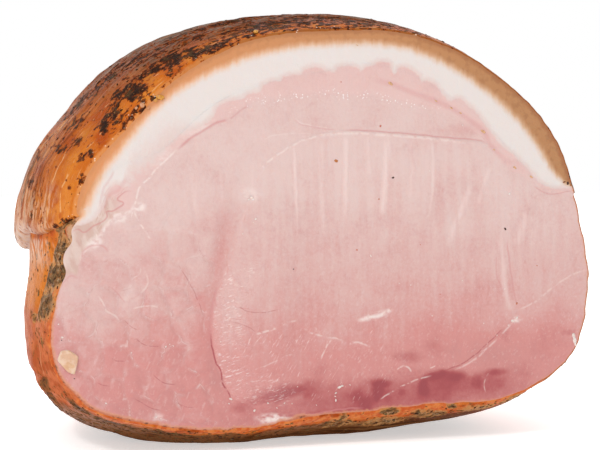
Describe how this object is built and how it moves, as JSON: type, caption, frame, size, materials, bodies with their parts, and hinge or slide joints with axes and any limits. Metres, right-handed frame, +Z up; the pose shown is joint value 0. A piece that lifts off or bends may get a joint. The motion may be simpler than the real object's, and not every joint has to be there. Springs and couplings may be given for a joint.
{
  "type": "cooked ham",
  "caption": "Half of a boneless cooked ham, its cut face showing pink lean under a white fat cap, with a seasoned golden rind over the top and a browned crust below.",
  "frame": {"origin": "on the surface the ham stands on, under the middle of its bounding box", "axes": "+Z up, -Y out of the cut face, +X to the right of someone who faces the cut face"},
  "size_m": [0.2044, 0.15, 0.155],
  "materials": {
    "lean": "moist pink cooked meat, browned and spiced on its outer side",
    "rind": "white fat under a glossy amber roasted rind with dark herb and pepper patches"
  },
  "bodies": {
    "root": {"lean": "lean", "fat_cap": "rind"}
  },
  "joints": []
}
